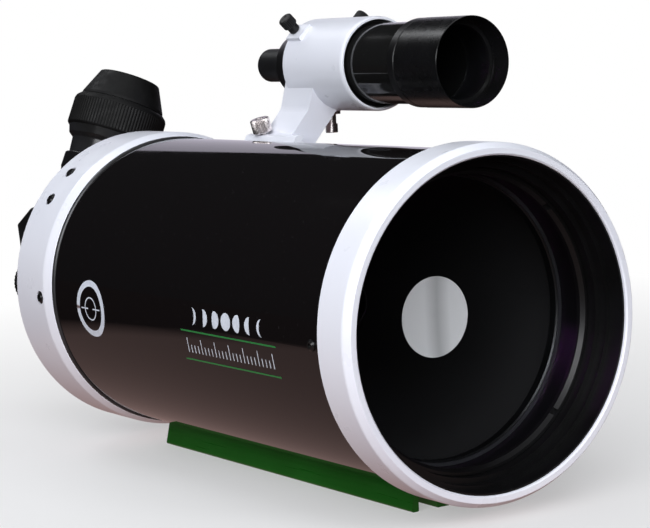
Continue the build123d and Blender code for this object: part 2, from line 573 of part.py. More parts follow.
PLUNGER = from_finder(DOWNWARD, PLUNGER_DEPTH)
FOOT_FRONT = 253.4
FOOT_PLANE = cross_plane(FINDER_ANGLE, (FOOT_FRONT + SHOE_END) / 2)
FOOT_REACH = (SHOE_END - FOOT_FRONT) / 2
STEM_SIDE = [(236.7, 142), (269.0, 142), (283.2, FOOT_HIGH - 0.5), (283.2, FOOT_LOW + 0.5),
             (FOOT_FRONT, FOOT_LOW + 0.5)]
STEM_FRONT = [(-9.6, 95), (7.5, 95), (7.5, 127, 6), (10.5, 135), (10.5, 142), (-17.5, 142),
              (-17.5, 134), (-9.6, 118, 8)]
PAD_TOP = 30.9
with BuildPart() as finder_bracket:
    slab(STEM_SIDE, side_plane(FINDER_ANGLE), 20)
    slab(STEM_FRONT, cross_plane(FINDER_ANGLE, 260), 40, Mode.INTERSECT)
    slab([(-11.5, FOOT_LOW, 0.5), (11.5, FOOT_LOW, 0.5), (9, FOOT_HIGH, 0.8),
          (-9, FOOT_HIGH, 0.8)], FOOT_PLANE, FOOT_REACH)
    turn([(BRACKET_BORE - 2, BRACKET_FRONT), (BRACKET_RADIUS - 0.6, BRACKET_FRONT, 0.6),
          (BRACKET_RADIUS, BRACKET_FRONT + 2, 2), (BRACKET_RADIUS, BRACKET_END, 1),
          (BRACKET_BORE - 2, BRACKET_END)], FINDER)
    for angle in ADJUSTER_ANGLES.values():
        middle = FINDER.origin + REARWARD * (ADJUSTER_DEPTH - 1.5)
        pad = Plane(middle, x_dir=tangent(angle), z_dir=-REARWARD)
        slab([(-6, 20), (6, 20), (6, PAD_TOP, 0.6), (-6, PAD_TOP, 0.6)], pad, 7.5)
    rod(6.2, 26, 29.4, PLUNGER)
    rod(BRACKET_BORE, BRACKET_FRONT - 1, SHOE_END, FINDER, Mode.SUBTRACT)
    for angle in ADJUSTER_ANGLES.values():
        rod(2.05, 20, 35, from_finder(radial(angle), ADJUSTER_DEPTH), Mode.SUBTRACT)
    rod(4.0, 20, 35, PLUNGER, Mode.SUBTRACT)
save(finder_bracket, "finder_bracket")

with BuildPart() as plunger_housing:
    turn([(1.95, 28), (4.0, 28), (4.0, 29.4), (6.0, 29.4, 0.3), (6.0, 31.4, 0.3), (3.1, 31.4),
          (3.1, 37.4), (3.9, 37.4, 0.2), (3.9, 43.1, 0.5), (0, 43.1), (0, 42.2), (2.5, 42.2),
          (2.5, 33.8), (1.95, 33.8)], PLUNGER)
save(plunger_housing, "plunger_housing")

with BuildPart() as plunger_pin:
    turn([(0, 24.85), (1.4, 24.85), (1.9, 25.5), (1.9, 35), (2.4, 35), (2.4, 36.5), (0, 36.5)],
         PLUNGER)
save(plunger_pin, "plunger_pin")

with BuildPart() as plunger_spring:
    coil_foot = FINDER.origin + REARWARD * PLUNGER_DEPTH + DOWNWARD * 41.8
    with BuildLine(Plane(coil_foot)) as coil:
        Helix(pitch=1.2, height=4.8, radius=1.9)
    with BuildSketch(Plane(coil.line @ 0, z_dir=coil.line % 0)):
        Circle(0.3)
    sweep(path=coil.line, is_frenet=True)
save(plunger_spring, "plunger_spring")

for side, angle in ADJUSTER_ANGLES.items():
    with BuildPart() as adjuster:
        turn([(0, 24.85), (1.5, 24.85), (2.0, 25.4), (2.0, 32), (3.5, 32, 0.4), (3.5, 36.2),
              (4.7, 36.2, 0.5), (4.7, 42.8, 0.8), (0, 42.8)],
             from_finder(radial(angle), ADJUSTER_DEPTH))
    save(adjuster, f"finder_adjuster_{side}")

# ---------------------------------------------------------------- finder scope
THREAD_RADIUS = 23.9
TUBE_BORE = 23.2
with BuildPart() as finder_tube:
    turn([(TUBE_BORE, 148), (THREAD_RADIUS, 148), (THREAD_RADIUS, 160.8), (FINDER_RADIUS, 160.8),
          (FINDER_RADIUS, 272), (TUBE_BORE, 272)], FINDER)
save(finder_tube, "finder_tube")

with BuildPart() as finder_o_ring:
    place = Plane(FINDER.origin, x_dir=FINDER.x_dir, z_dir=FINDER.z_dir)
    with BuildSketch(place) as cord:
        with Locations((25.6, 207.5)):
            Circle(1.1)
    revolve(cord.sketch, Axis(place.origin, place.y_dir))
save(finder_o_ring, "finder_o_ring")

with BuildPart() as finder_lock_ring:
    turn([(THREAD_RADIUS + RUNNING, 154.0), (26.2, 154.0), (26.5, 154.4), (26.5, 160.1),
          (26.2, 160.5), (THREAD_RADIUS + RUNNING, 160.5)], FINDER)
save(finder_lock_ring, "finder_lock_ring")

with BuildPart() as finder_cell:
    turn([(21.8, 124.4), (25.0, 124.4), (25.0, 153.5), (THREAD_RADIUS + RUNNING, 153.5),
          (THREAD_RADIUS + RUNNING, 136.5), (22.9, 136.5), (22.9, 127), (21.8, 127)], FINDER)
save(finder_cell, "finder_cell")

with BuildPart() as finder_objective:
    lens(22.9, FINDER, 126, 2.4, 134, -1.6)
save(finder_objective, "finder_objective")

with BuildPart() as finder_dew_shield:
    turn([(26.3, 112), (SHIELD_RADIUS, 112.5), (SHIELD_RADIUS, 153.1), (26.2, 153.5),
          (25.05, 153.5), (25.05, 124.0), (24.0, 124.0)], FINDER)
save(finder_dew_shield, "finder_dew_shield")

with BuildPart() as finder_rear_cone:
    turn([(22, 266), (TUBE_BORE, 266), (TUBE_BORE, 272), (24.4, 272), (24.4, 275, 1),
          (20.4, 290.5, 1), (19.4, 292, 0.5), (10.8, 292), (10.8, 289), (18.2, 289),
          (22, 275)], FINDER)
save(finder_rear_cone, "finder_rear_cone")

with BuildPart() as finder_eyepiece:
    turn([(8, 284), (10.8, 284), (10.8, 328.5, 1.2), (7.5, 328.5, 0.5), (7.5, 323), (8, 323)],
         FINDER)
save(finder_eyepiece, "finder_eyepiece")

with BuildPart() as finder_eye_lens:
    lens(8, FINDER, 311, 1, 317, -1)
save(finder_eye_lens, "finder_eye_lens")

with BuildPart() as finder_reticle:
    rod(8, 287, 288.5, FINDER)
save(finder_reticle, "finder_reticle")
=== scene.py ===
"""Looks of the Maksutov telescope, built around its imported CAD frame."""
from math import cos, degrees, pi, radians, sin, sqrt

import bmesh
import bpy
from mathutils import Matrix, Vector


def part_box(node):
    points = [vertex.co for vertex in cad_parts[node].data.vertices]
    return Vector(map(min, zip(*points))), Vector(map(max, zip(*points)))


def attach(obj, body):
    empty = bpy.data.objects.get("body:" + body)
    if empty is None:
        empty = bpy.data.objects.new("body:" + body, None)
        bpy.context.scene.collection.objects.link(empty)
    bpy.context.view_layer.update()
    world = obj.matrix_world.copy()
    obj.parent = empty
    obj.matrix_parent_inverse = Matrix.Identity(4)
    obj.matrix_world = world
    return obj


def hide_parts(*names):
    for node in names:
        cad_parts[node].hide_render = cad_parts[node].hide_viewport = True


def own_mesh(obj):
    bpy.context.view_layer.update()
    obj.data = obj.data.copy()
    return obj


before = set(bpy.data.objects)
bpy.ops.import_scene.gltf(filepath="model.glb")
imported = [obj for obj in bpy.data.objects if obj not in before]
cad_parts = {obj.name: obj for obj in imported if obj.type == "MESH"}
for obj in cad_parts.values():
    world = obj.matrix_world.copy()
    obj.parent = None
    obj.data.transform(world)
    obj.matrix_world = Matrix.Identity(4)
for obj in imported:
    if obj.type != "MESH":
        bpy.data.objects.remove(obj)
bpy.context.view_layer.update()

# ---------------------------------------------------------------- sizes in metres, angles in degrees
MM = 0.001
LIP_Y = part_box("front_ring")[0][1]
AXIS_Z = (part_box("front_ring")[0][2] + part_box("front_ring")[1][2]) / 2
TUBE_RADIUS = 91 * MM
FINDER_ANGLE = 30
FINDER_DISTANCE = 154.3 * MM
DIAGONAL_ANGLE = 23
DIAGONAL_DEPTH = 480 * MM
WELD = 1e-7


# ---------------------------------------------------------------- places
def at(x, depth, rise):
    """A point across, behind the front lip, and above the optical axis, from millimetres."""
    return Vector((x * MM, LIP_Y + depth * MM, AXIS_Z + rise * MM))


def radial(angle):
    """Unit vector away from the optical axis, at degrees from the top towards +X."""
    return Vector((sin(radians(angle)), 0, cos(radians(angle))))


REARWARD = Vector((0, 1, 0))
UP = Vector((0, 0, 1))
FINDER_AXIS = at(0, 0, 0) + radial(FINDER_ANGLE) * FINDER_DISTANCE
DIAGONAL_CENTRE = at(0, 0, 0) + REARWARD * DIAGONAL_DEPTH
DIAGONAL_UP = radial(DIAGONAL_ANGLE)
DIAGONAL_SIDE = DIAGONAL_UP.cross(REARWARD) * -1
KNOB_AXIS = at(-66, 0, 0)


def frame_along(origin, direction):
    """Matrix whose Z axis runs along a direction from an origin."""
    turn = direction.to_track_quat("Z", "Y").to_matrix().to_4x4()
    return Matrix.Translation(origin) @ turn


# ---------------------------------------------------------------- materials
NOISE_RANGE = (0.3, 0.7)


class Shade:
    """A Principled material with helpers for its procedural detail."""

    def __init__(self, name, color, roughness, metallic=0.0, **sockets):
        self.material = bpy.data.materials.new(name)
        self.material.use_nodes = True
        self.nodes = self.material.node_tree.nodes
        self.links = self.material.node_tree.links
        self.shader = self.nodes["Principled BSDF"]
        self.shader.inputs["Base Color"].default_value = (*color, 1)
        self.shader.inputs["Roughness"].default_value = roughness
        self.shader.inputs["Metallic"].default_value = metallic
        for socket, value in sockets.items():
            self.shader.inputs[socket.replace("_", " ")].default_value = value
        self.place = self.nodes.new("ShaderNodeTexCoord").outputs["Object"]

    def add(self, kind, **values):
        """New node with its plain properties and unlinked inputs set."""
        node = self.nodes.new(kind)
        for key, value in values.items():
            if hasattr(node, key):
                setattr(node, key, value)
            else:
                node.inputs[key.replace("_", " ")].default_value = value
        return node

    def join(self, output, node, socket):
        """Link an output to a node's input."""
        self.links.new(output, node.inputs[socket])

    def noise(self, scale, detail=3.0, roughness=0.5, stretch=None):
        """Noise value over the piece; stretch scales the coordinates per axis."""
        place = self.place
        if stretch:
            mapping = self.add("ShaderNodeMapping", Scale=stretch)
            self.join(place, mapping, "Vector")
            place = mapping.outputs["Vector"]
        node = self.add("ShaderNodeTexNoise", Scale=scale, Detail=detail, Roughness=roughness)
        self.join(place, node, "Vector")
        return node.outputs["Fac"]

    def ramp(self, value, low, high, start=0.0, end=1.0):
        """Value from low to high while another goes from start to end."""
        node = self.add("ShaderNodeMapRange")
        node.inputs["From Min"].default_value = start
        node.inputs["From Max"].default_value = end
        node.inputs["To Min"].default_value = low
        node.inputs["To Max"].default_value = high
        self.join(value, node, "Value")
        return node.outputs["Result"]

    def spread(self, value, low, high):
        """Value from low to high over the range that most of a noise falls in."""
        return self.ramp(value, low, high, *NOISE_RANGE)

    def mix(self, factor, first, second):
        """Colour from first to second by a factor."""
        node = self.add("ShaderNodeMix", data_type="RGBA")
        node.inputs["A"].default_value = (*first, 1)
        node.inputs["B"].default_value = (*second, 1)
        self.links.new(factor, node.inputs["Factor"])
        return node.outputs["Result"]

    def color(self, output):
        """Drive the base colour."""
        self.links.new(output, self.shader.inputs["Base Color"])

    def rough(self, output):
        """Drive the roughness."""
        self.links.new(output, self.shader.inputs["Roughness"])

    def bump(self, height, strength, distance=0.0002):
        """Add a bump after any that the shader already has."""
        node = self.add("ShaderNodeBump", Strength=strength, Distance=distance)
        self.join(height, node, "Height")
        normal = self.shader.inputs["Normal"]
        if normal.is_linked:
            self.links.new(normal.links[0].from_socket, node.inputs["Normal"])
        self.links.new(node.outputs["Normal"], normal)


def math_node(shade, operation, first, second=None):
    """Output of a maths node whose inputs are outputs or numbers."""
    node = shade.add("ShaderNodeMath", operation=operation)
    for index, value in enumerate((first, second)):
        if value is None:
            continue
        if isinstance(value, (int, float)):
            node.inputs[index].default_value = value
        else:
            shade.links.new(value, node.inputs[index])
    return node.outputs["Value"]


def white_paint():
    """Cool white powder coat: fine orange peel and faint mottling."""
    shade = Shade("white_paint", (0.80, 0.82, 0.90), 0.32, Coat_Weight=0.2, Coat_Roughness=0.12)
    mottle = shade.noise(9, 4)
    shade.color(shade.mix(shade.spread(mottle, 0, 1), (0.78, 0.80, 0.89), (0.83, 0.85, 0.92)))
    shade.rough(shade.spread(shade.noise(60, 3), 0.26, 0.42))
    shade.bump(shade.noise(700, 2), 0.05, 0.0001)
    return shade.material


MATTE_WITHIN = 89.6 * MM
GLOSS_BEYOND = 90.2 * MM


def tube_enamel():
    """Gloss black enamel outside, matte baffle paint inside the tube."""
    shade = Shade("tube_enamel", (0.006, 0.0055, 0.006), 0.07)
    axes = shade.add("ShaderNodeSeparateXYZ")
    shade.join(shade.place, axes, 0)
    across = math_node(shade, "POWER", axes.outputs["X"], 2)
    rise = math_node(shade, "SUBTRACT", axes.outputs["Z"], AXIS_Z)
    away = math_node(shade, "SQRT", math_node(shade, "ADD", across, math_node(shade, "POWER", rise, 2)))
    inside = shade.ramp(away, 1, 0, MATTE_WITHIN, GLOSS_BEYOND)
    dust = shade.ramp(shade.noise(700, 2), 0, 1, 0.70, 0.78)
    smear = shade.ramp(shade.noise(14, 5), 0.03, 0.07, 0.35, 0.7)
    speckled = math_node(shade, "ADD", smear, math_node(shade, "MULTIPLY", dust, 0.15))
    shade.rough(math_node(shade, "ADD", speckled, math_node(shade, "MULTIPLY", inside, 0.8)))
    shade.color(shade.mix(dust, (0.005, 0.0042, 0.0045), (0.02, 0.018, 0.02)))
    shade.bump(shade.noise(90, 2), 0.012, 0.0004)
    return shade.material


def satin_black(name, level=0.012, roughness=0.38, rings=0.0, axis="Y"):
    """Black anodised metal or plastic, with fine turning lines along an axis where rings is set."""
    shade = Shade(name, (level, level, level * 1.08), roughness, 0.35, Specular_IOR_Level=0.5)
    cloud = shade.noise(35, 4)
    shade.color(shade.mix(shade.spread(cloud, 0, 1), (level * 0.8,) * 3,
                          (level * 1.5, level * 1.5, level * 1.7)))
    shade.rough(shade.spread(shade.noise(120, 3), roughness - 0.02, roughness + 0.04))
    shade.bump(shade.noise(1500, 2), 0.04, 0.0001)
    if rings:
        stretch = {"Y": (4, rings, 4), "Z": (4, 4, rings)}[axis]
        shade.bump(shade.noise(1, 2, 0.5, stretch), 0.05, 0.00006)
    return shade.material


def gloss_black(name, level=0.008):
    """Gloss black enamel for the finder's tube."""
    shade = Shade(name, (level, level, level), 0.08)
    shade.rough(shade.ramp(shade.noise(40, 4), 0.05, 0.14, 0.35, 0.7))
    dust = shade.ramp(shade.noise(900, 2), 0, 1, 0.72, 0.8)
    shade.color(shade.mix(dust, (level,) * 3, (0.05, 0.05, 0.052)))
    shade.bump(shade.noise(200, 2), 0.015, 0.0003)
    return shade.material


def green_anodised():
    """Drawn bar, anodised green, with fine lines along its length."""
    shade = Shade("green_anodised", (0.008, 0.14, 0.009), 0.34, 0.4)
    lines = shade.noise(1, 3, 0.6, (900, 14, 900))
    shade.color(shade.mix(shade.spread(shade.noise(18, 4), 0, 1),
                          (0.006, 0.12, 0.007), (0.010, 0.165, 0.013)))
    shade.rough(shade.spread(lines, 0.26, 0.46))
    shade.bump(lines, 0.15, 0.0001)
    return shade.material


def metal(name, color, roughness, lines=None, strength=0.2):
    """Bright metal with turning or grinding lines."""
    shade = Shade(name, color, roughness, 1.0)
    fine = shade.noise(1, 3, 0.6, lines) if lines else shade.noise(400, 3)
    shade.rough(shade.spread(fine, roughness * 0.7, roughness * 1.5))
    tarnish = shade.ramp(shade.noise(60, 4), 0, 1, 0.45, 0.8)
    shade.color(shade.mix(tarnish, color, tuple(level * 0.86 for level in color)))
    shade.bump(fine, strength, 0.00006)
    return shade.material


def rubber(name, level=0.0025, roughness=0.6):
    """Moulded rubber: fine grain, faint dust bloom."""
    shade = Shade(name, (level, level, level * 1.1), roughness, Specular_IOR_Level=0.22)
    bloom = shade.ramp(shade.noise(25, 5), 0, 1, 0.45, 0.75)
    shade.color(shade.mix(bloom, (level,) * 3, (level * 1.8, level * 1.8, level * 2.1)))
    shade.rough(shade.spread(shade.noise(180, 3), roughness - 0.1, roughness + 0.1))
    shade.bump(shade.noise(1800, 2), 0.16, 0.00012)
    return shade.material


def coated_glass(name, tint, rim):
    """Optical glass seen as clear, with a coating that colours its reflection."""
    material = bpy.data.materials.new(name)
    material.use_nodes = True
    nodes, links = material.node_tree.nodes, material.node_tree.links
    nodes.remove(nodes["Principled BSDF"])
    clear = nodes.new("ShaderNodeBsdfTransparent")
    clear.inputs["Color"].default_value = (*tint, 1)
    gloss = nodes.new("ShaderNodeBsdfGlossy")
    gloss.inputs["Roughness"].default_value = 0.02
    weight = nodes.new("ShaderNodeLayerWeight")
    weight.inputs["Blend"].default_value = 0.25
    colors = nodes.new("ShaderNodeValToRGB")
    colors.color_ramp.elements[0].color = (0.16, 0.16, 0.30, 1)
    colors.color_ramp.elements[1].color = (*rim, 1)
    colors.color_ramp.elements[1].position = 0.5
    strength = nodes.new("ShaderNodeMapRange")
    strength.inputs["To Min"].default_value = 0.002
    strength.inputs["To Max"].default_value = 0.10
    blend = nodes.new("ShaderNodeMixShader")
    links.new(weight.outputs["Facing"], colors.inputs["Fac"])
    links.new(weight.outputs["Fresnel"], strength.inputs["Value"])
    links.new(colors.outputs["Color"], gloss.inputs["Color"])
    links.new(strength.outputs["Result"], blend.inputs["Fac"])
    links.new(clear.outputs["BSDF"], blend.inputs[1])
    links.new(gloss.outputs["BSDF"], blend.inputs[2])
    links.new(blend.outputs["Shader"], nodes["Material Output"].inputs["Surface"])
    return material


# painted reflection: a darker band down the aluminised spot, centred at this offset across and fading
# out between these edges
SPOT_REFLECTION_BAND_X = 2 * MM
SPOT_REFLECTION_BAND_EDGES = (1 * MM, 9 * MM)


def spot_silver():
    """Aluminised spot on the corrector: pale satin grey, with a painted reflection as a soft darker
    band down its middle.
    """
    shade = Shade("spot_silver", (0.66, 0.66, 0.65), 0.5)
    axes = shade.add("ShaderNodeSeparateXYZ")
    shade.join(shade.place, axes, 0)
    off = math_node(shade, "ABSOLUTE", math_node(shade, "SUBTRACT", axes.outputs["X"], SPOT_REFLECTION_BAND_X))
    cloud = math_node(shade, "MULTIPLY", shade.noise(60, 3), 1.2 * MM)
    # painted reflection, darker down the spot's middle
    painted_reflection = shade.ramp(math_node(shade, "ADD", off, cloud), 0, 1, *SPOT_REFLECTION_BAND_EDGES)
    shade.color(shade.mix(painted_reflection, (0.46, 0.46, 0.455), (0.72, 0.72, 0.71)))
    shade.rough(shade.spread(shade.noise(30, 4), 0.42, 0.58))
    shade.bump(shade.noise(1, 2, 0.5, (300, 300, 20)), 0.03, 0.00005)
    return shade.material


def ink(name, color):
    """Screen-printed ink: flat, slightly uneven."""
    shade = Shade(name, color, 0.45)
    cover = shade.ramp(shade.noise(500, 4), 0, 1, 0.35, 0.7)
    shade.color(shade.mix(cover, tuple(level * 0.86 for level in color), color))
    shade.rough(shade.spread(shade.noise(200, 3), 0.35, 0.55))
    shade.bump(shade.noise(1200, 2), 0.1, 0.00005)
    return shade.material


MATERIALS = {
    "white_paint": white_paint(),
    "tube": tube_enamel(),
    "cell": satin_black("cell", 0.004, 0.34, rings=2600),
    "finder_gloss": gloss_black("finder_gloss"),
    "anodised": satin_black("anodised", 0.008, 0.3, rings=2200),
    "shield": satin_black("shield", 0.006, 0.26, rings=2600),
    "body_black": satin_black("body_black", 0.008, 0.36),
    "green": green_anodised(),
    # painted highlight: the thin rear trim ring and the corrector's shim are lighter grey than the
    # black beside them
    "trim": satin_black("highlight_grey_trim", 0.03, 0.3),
    "lens": coated_glass("corrector_glass", (0.95, 0.96, 0.97), (0.60, 0.05, 0.55)),
    "small_lens": coated_glass("eyepiece_glass", (0.9, 0.94, 0.93), (0.25, 0.5, 0.3)),
    "spot": spot_silver(),
    "mirror": metal("mirror_silver", (0.9, 0.91, 0.93), 0.03),
    "screw": satin_black("screw_black", 0.012, 0.22),
    "nickel": metal("nickel", (0.74, 0.68, 0.67), 0.24, (60, 60, 60), 0.02),
    "barrel": metal("barrel_chrome", (0.7, 0.7, 0.72), 0.12, (30, 1800, 30)),
    "brass": metal("brass", (0.7, 0.5, 0.2), 0.25),
    "steel": metal("steel", (0.5, 0.5, 0.52), 0.25),
    "plastic": satin_black("plastic_black", 0.008, 0.42),
    "rubber": rubber("rubber_black"),
    "lip": satin_black("polished_lip", 0.022, 0.2, rings=2000, axis="Z"),
    "print_white": ink("print_white", (0.72, 0.78, 0.88)),
    "print_green": ink("print_green", (0.02, 0.22, 0.05)),
}

LOOKS = {
    "white_paint": ("front_ring", "rear_cell", "finder_shoe", "finder_bracket"),
    "tube": ("main_tube",),
    "cell": ("corrector_cell", "corrector_retainer", "baffle_tube"),
    "anodised": ("focus_bushing", "visual_back", "mirror_carrier", "mirror_retainer", "knob_core",
                 "eyepiece_collar", "finder_rear_cone", "finder_cell", "finder_lock_ring"),
    "shield": ("finder_dew_shield",),
    "body_black": ("diagonal_body",),
    "finder_gloss": ("finder_tube",),
    "green": ("dovetail_bar",),
    # the grey of these thin rings is a painted highlight
    "trim": ("rear_trim_ring", "corrector_shim"),
    "lens": ("corrector_lens", "finder_objective"),
    "small_lens": ("eye_lens", "field_lens", "finder_eye_lens", "finder_reticle"),
    "spot": ("secondary_spot",),
    "mirror": ("primary_mirror", "diagonal_mirror"),
    "screw": ("front_ring_screws", "rear_cell_screws", "bushing_screws", "shoe_screws", "cover_screws"),
    "nickel": ("dovetail_screws", "shoe_clamp_screw", "plunger_housing", "visual_back_screw_upper",
               "visual_back_screw_lower", "collar_screw_rear", "collar_screw_side"),
    "barrel": ("diagonal_nose", "eyepiece_barrel"),
    "brass": ("focus_rod", "compression_ring", "plunger_pin"),
    "steel": ("plunger_spring",),
    "plastic": ("diagonal_cover", "finder_eyepiece", "finder_adjuster_left", "finder_adjuster_right"),
    "rubber": ("knob_grip", "eyepiece_grip", "eyecup", "finder_o_ring"),
    "lip": ("eyepiece_body",),
}


def paint(piece, look):
    """Give a piece one material all over."""
    piece.data.materials.clear()
    piece.data.materials.append(MATERIALS[look])


for look, nodes in LOOKS.items():
    for node in nodes:
        paint(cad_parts[node], look)


# ---------------------------------------------------------------- turned pieces, in millimetres
ARC_STEPS = 4
PLAIN_SEGMENTS = 96
RIB_SEGMENTS = 8


def rounded(corners):
    """Points of an outline whose (radius, height, rounding, ribbed) corners are rounded off."""
    points = []
    for index, corner in enumerate(corners):
        radius, height = corner[:2]
        rounding = corner[2] if len(corner) > 2 else 0
        ribbed = corner[3] if len(corner) > 3 else 0
        here = Vector((radius, height))
        if not rounding or index in (0, len(corners) - 1):
            points.append((here, ribbed))
            continue
        before = Vector(corners[index - 1][:2])
        after = Vector(corners[index + 1][:2])
        start = here + (before - here).normalized() * rounding
        end = here + (after - here).normalized() * rounding
        for step in range(ARC_STEPS + 1):
            t = step / ARC_STEPS
            points.append((start * (1 - t) ** 2 + here * (2 * t * (1 - t)) + end * t**2, ribbed))
    return points


def rib_wave(turn, ribs, sharpness):
    """0 on a rib's crest and 1 in the groove beside it."""
    return (0.5 - 0.5 * cos(ribs * turn)) ** sharpness


def lathe(name, matrix, corners, ribs=0, depth=0.0, sharpness=2.0, closed=False):
    """Turn an outline in millimetres about a matrix's Z axis, with ribs along ribbed corners."""
    count = ribs * RIB_SEGMENTS if ribs else PLAIN_SEGMENTS
    points = rounded(corners)
    shape = bmesh.new()
    rows = []
    for point, ribbed in points:
        row = []
        for index in range(count):
            turn = 2 * pi * index / count
            radius = point.x - depth * ribbed * rib_wave(turn, ribs, sharpness)
            spot = Vector((radius * cos(turn), radius * sin(turn), point.y)) * MM
            row.append(shape.verts.new(matrix @ spot))
        rows.append(row)
    pairs = list(zip(rows, rows[1:] + rows[:1])) if closed else list(zip(rows, rows[1:]))
    for low, high in pairs:
        for index in range(count):
            after = (index + 1) % count
            shape.faces.new((low[index], low[after], high[after], high[index]))
    bmesh.ops.remove_doubles(shape, verts=shape.verts, dist=WELD)
    bmesh.ops.recalc_face_normals(shape, faces=shape.faces)
    return finish_mesh(name, shape)


SMOOTH_ANGLE = radians(32)


def finish_mesh(name, shape):
    """Turn a bmesh into a linked object, smooth but for its sharp edges."""
    for edge in shape.edges:
        if len(edge.link_faces) == 2 and edge.calc_face_angle(0) > SMOOTH_ANGLE:
            edge.smooth = False
    for face in shape.faces:
        face.smooth = True
    mesh = bpy.data.meshes.new(name)
    shape.to_mesh(mesh)
    shape.free()
    piece = bpy.data.objects.new(name, mesh)
    bpy.context.collection.objects.link(piece)
    return piece


def dress(piece, body, look, slot, *nodes):
    """Give a piece its body, its material and the CAD nodes that it stands for."""
    paint(piece, look)
    if nodes:
        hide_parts(*nodes)
    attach(piece, body)


THUMB_RADIUS = 5.5
THUMB_LENGTH = 9
BACK_SCREW_DEPTH = 421
COLLAR_SCREW_RISE = 54
BACK_SCREW_ANGLES = (("upper", 50), ("lower", 150))
COLLAR_SCREW_ANGLES = (("rear", 10), ("side", 100))


def thumbscrew(node, body, origin, direction, tip, neck, head):
    """Knurled nickel thumbscrew in the place of a plain CAD one, from its tip to its neck and head."""
    radius = THUMB_RADIUS
    top = head + THUMB_LENGTH
    corners = [(0, tip), (1.5, tip), (2.0, tip + 0.5), (2.0, neck), (3.4, neck, 0.2), (3.4, head),
               (radius - 0.4, head, 0.2), (radius, head + 0.7, 0, 1), (radius, top - 0.9, 0, 1),
               (radius - 0.7, top, 0.3), (2.6, top, 0.2), (2.2, top - 0.4), (0, top - 0.4)]
    piece = lathe(f"knurled_{node}", frame_along(origin, direction), corners, ribs=36, depth=0.45)
    dress(piece, body, "nickel", "bright_metal", node)


def thumbscrews():
    """Screws of the visual back and of the eyepiece collar."""
    for side, angle in BACK_SCREW_ANGLES:
        node = f"visual_back_screw_{side}"
        origin = at(0, BACK_SCREW_DEPTH, 0)
        thumbscrew(node, f"back_screw_{side}", origin, radial(angle), tip=25.75, neck=33.3, head=37)
    origin = DIAGONAL_CENTRE + DIAGONAL_UP * COLLAR_SCREW_RISE * MM
    for side, angle in COLLAR_SCREW_ANGLES:
        outward = REARWARD * cos(radians(angle)) + DIAGONAL_SIDE * sin(radians(angle))
        node = f"collar_screw_{side}"
        thumbscrew(node, node, origin, outward, tip=26.7, neck=28.6, head=32)


CLAMP_DEPTH = 278.5
CLAMP_ACROSS = 96
CLAMP_AROUND = -11.3


def clamp_screw():
    """Knurled screw that clamps the finder's foot in its shoe."""
    across = radial(FINDER_ANGLE)
    around = radial(FINDER_ANGLE + 90)
    foot = at(0, CLAMP_DEPTH, 0) + around * CLAMP_AROUND * MM + across * CLAMP_ACROSS * MM
    corners = [(0, 1.4), (1.4, 1.4), (2.0, 2.0), (2.0, 4.7), (5.7, 4.7, 0.2),
               (6.2, 5.2, 0, 1), (6.2, 12.9, 0, 1), (5.5, 13.6, 0.3), (2.4, 13.6, 0.2),
               (2.0, 13.2), (0, 13.2)]
    piece = lathe("knurled_clamp_screw", frame_along(foot, across - around), corners,
                  ribs=40, depth=0.4)
    dress(piece, "clamp_screw", "nickel", "bright_metal", "shoe_clamp_screw")


ADJUSTER_DEPTH = 262.5
ADJUSTER_ANGLES = (("left", -45), ("right", 45))


def adjusters():
    """The finder's adjusting screws, with knurled black heads."""
    for side, angle in ADJUSTER_ANGLES:
        corners = [(0, 24.85), (1.5, 24.85), (2.0, 25.4), (2.0, 32), (3.5, 32, 0.3),
                   (3.5, 35.6, 0.3), (3.0, 36.2), (4.3, 36.2, 0.2), (4.7, 36.8, 0, 1),
                   (4.7, 42.0, 0, 1), (4.0, 42.8, 0.4), (1.6, 42.8, 0.2), (1.3, 42.4), (0, 42.4)]
        origin = FINDER_AXIS + REARWARD * ADJUSTER_DEPTH * MM
        piece = lathe(f"knurled_adjuster_{side}", frame_along(origin, radial(angle)), corners,
                      ribs=22, depth=0.5)
        dress(piece, f"adjuster_{side}", "plastic", "black_plastic", f"finder_adjuster_{side}")


def focus_grip():
    """Ribbed rubber sleeve of the focus knob."""
    corners = [(12.4, 379.4), (15.2, 379.4, 0.8), (16.2, 382, 0.4, 1), (16.2, 404, 0.8, 1),
               (14.8, 406, 0.5), (12.4, 406)]
    piece = lathe("ribbed_focus_grip", frame_along(KNOB_AXIS, REARWARD), corners,
                  ribs=40, depth=0.8, sharpness=3, closed=True)
    dress(piece, "focus_knob", "rubber", "soft_rubber", "knob_grip")


def eyepiece_grip():
    """Rubber grip of the eyepiece, with fine ribs along it."""
    corners = [(28, 94.2), (32.4, 94.2, 0.3), (33.3, 95.4, 0.3), (33.5, 96.0, 0.2, 1),
               (33.5, 113.2, 0.2, 1), (33.3, 113.9, 0.3), (32.8, 115.4, 0.8), (30.6, 117.5, 0.3),
               (28, 117.5)]
    piece = lathe("ribbed_eyepiece_grip", frame_along(DIAGONAL_CENTRE, DIAGONAL_UP), corners,
                  ribs=90, depth=0.35, sharpness=2, closed=True)
    dress(piece, "eyepiece", "rubber", "soft_rubber", "eyepiece_grip")


# ---------------------------------------------------------------- spring and corrector spot
SPRING_TURNS = 4
SPRING_STEPS = 24
WIRE_RADIUS = 0.3
WIRE_STEPS = 8


